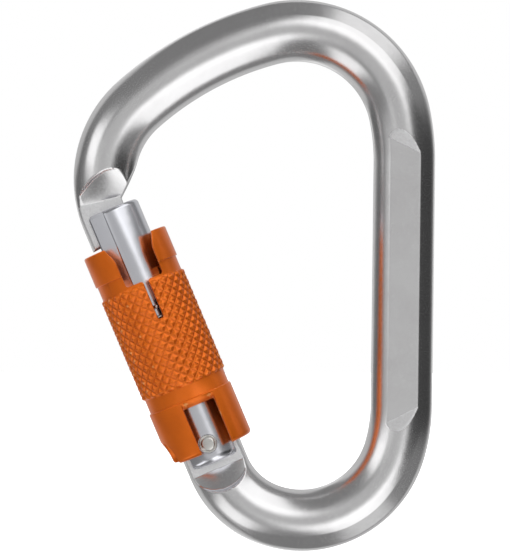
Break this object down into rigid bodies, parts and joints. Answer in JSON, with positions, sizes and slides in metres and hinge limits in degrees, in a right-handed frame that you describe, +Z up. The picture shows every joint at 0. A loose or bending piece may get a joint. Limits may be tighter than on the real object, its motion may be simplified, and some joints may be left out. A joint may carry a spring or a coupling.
{
  "type": "locking carabiner",
  "caption": "Pear-shaped locking carabiner with a forged bar, an inward-opening rod gate and a spring-loaded turning sleeve.",
  "frame": {"origin": "inner crown of the top bend, where the carabiner hangs on its anchor", "axes": "+Z up along the carabiner's length, +X from the gate towards the spine, +Y through the thickness to the back"},
  "size_m": [0.0736, 0.018, 0.1122],
  "materials": {
    "body_alloy": "polished forged aluminium",
    "gate_alloy": "bright polished aluminium rod",
    "rivet_steel": "peened and ground steel",
    "small_steel": "ground steel",
    "spring_steel": "drawn spring wire",
    "sleeve_anodised": "orange anodised, satin, knurled middle"
  },
  "bodies": {
    "frame": {"body": "body_alloy", "hinge_rivet": "rivet_steel"},
    "gate": {"gate": "gate_alloy", "gate_spring": "spring_steel", "sleeve_spring": "spring_steel", "sleeve_stop_pin": "small_steel", "sleeve_retaining_ring": "small_steel"},
    "sleeve": {"locking_sleeve": "sleeve_anodised"},
    "plunger": {"gate_plunger": "small_steel"}
  },
  "joints": [
    {"name": "gate_swing", "type": "hinge", "parent": "frame", "child": "gate", "pos_m": [-0.01802, 0, -0.07757], "axis": [0, 1, 0], "range_deg": [0, 26], "stiffness_Nm_per_rad": 0.4, "springref_deg": -34.38},
    {"name": "sleeve_turn", "type": "hinge", "parent": "gate", "child": "sleeve", "pos_m": [-0.01802, 0, -0.07757], "axis": [0.3875, 0, -0.9219], "range_deg": [0, 98.5], "stiffness_Nm_per_rad": 0.015, "springref_deg": -85.94, "deforming": ["sleeve_spring"]},
    {"name": "plunger_slide", "type": "slide", "parent": "gate", "child": "plunger", "axis": [-0.3875, 0, 0.9219], "range_m": [0, 0.0016], "deforming": ["gate_spring"]}
  ],
  "couplings": [
    {"joint": "plunger_slide", "follows": "gate_swing", "m_per_rad": 0.003}
  ]
}
